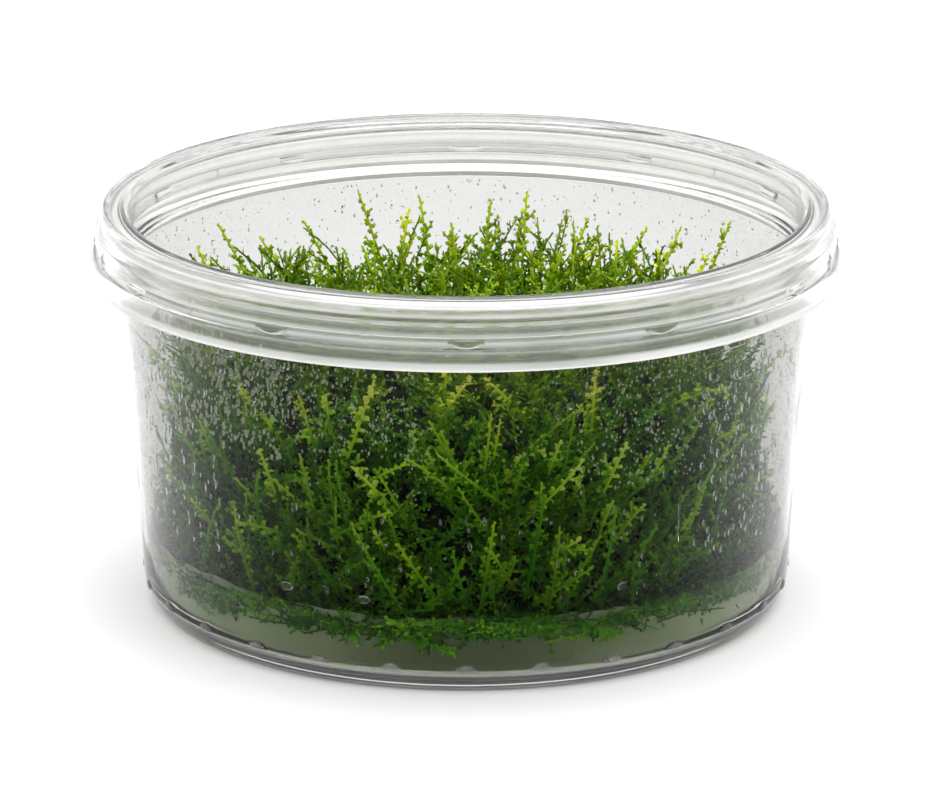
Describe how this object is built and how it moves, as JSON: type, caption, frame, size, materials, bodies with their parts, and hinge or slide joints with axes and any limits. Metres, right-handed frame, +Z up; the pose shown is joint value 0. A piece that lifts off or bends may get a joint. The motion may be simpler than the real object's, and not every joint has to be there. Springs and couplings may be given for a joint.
{
  "type": "tissue culture erect moss",
  "caption": "Open clear round tub with a lipped, collared rim, holding a bed of clear nutrient gel and a dense cushion of erect, branching green moss shoots.",
  "frame": {"origin": "centre of the tub's underside, on the surface it stands on", "axes": "+Z up along the tub's axis, -Y to the front as pictured, +X to the right"},
  "size_m": [0.101, 0.101, 0.0542],
  "materials": {
    "clear_plastic": "clear moulded polypropylene, glossy, slightly cloudy",
    "nutrient_gel": "clear grey-green agar gel, wet",
    "moss_body": "dense leafy moss, dark green, damp",
    "moss_shoot": "leafy moss shoots, bright yellow-green at the tips, damp"
  },
  "bodies": {
    "root": {"gel": "nutrient_gel", "moss_cushion": "moss_body", "shoot_back_01": "moss_shoot", "shoot_back_02": "moss_shoot", "shoot_back_03": "moss_shoot", "shoot_back_04": "moss_shoot", "shoot_back_05": "moss_shoot", "shoot_back_06": "moss_shoot", "shoot_back_07": "moss_shoot", "shoot_back_08": "moss_shoot", "shoot_back_09": "moss_shoot", "shoot_back_10": "moss_shoot", "shoot_back_11": "moss_shoot", "shoot_front_01": "moss_shoot", "shoot_front_02": "moss_shoot", "shoot_front_03": "moss_shoot", "shoot_front_04": "moss_shoot", "shoot_front_05": "moss_shoot", "shoot_front_06": "moss_shoot", "shoot_front_07": "moss_shoot", "shoot_front_08": "moss_shoot", "shoot_front_09": "moss_shoot", "shoot_front_10": "moss_shoot", "shoot_front_11": "moss_shoot", "shoot_front_12": "moss_shoot", "shoot_front_13": "moss_shoot", "shoot_inner_01": "moss_shoot", "shoot_inner_02": "moss_shoot", "shoot_inner_03": "moss_shoot", "shoot_inner_04": "moss_shoot", "shoot_inner_05": "moss_shoot", "shoot_inner_06": "moss_shoot", "shoot_left_01": "moss_shoot", "shoot_left_02": "moss_shoot", "shoot_left_03": "moss_shoot", "shoot_low_01": "moss_shoot", "shoot_low_02": "moss_shoot", "shoot_low_03": "moss_shoot", "shoot_right_01": "moss_shoot", "shoot_right_02": "moss_shoot", "shoot_right_03": "moss_shoot", "shoot_right_04": "moss_shoot", "shoot_right_05": "moss_shoot", "tub": "clear_plastic"}
  },
  "joints": []
}
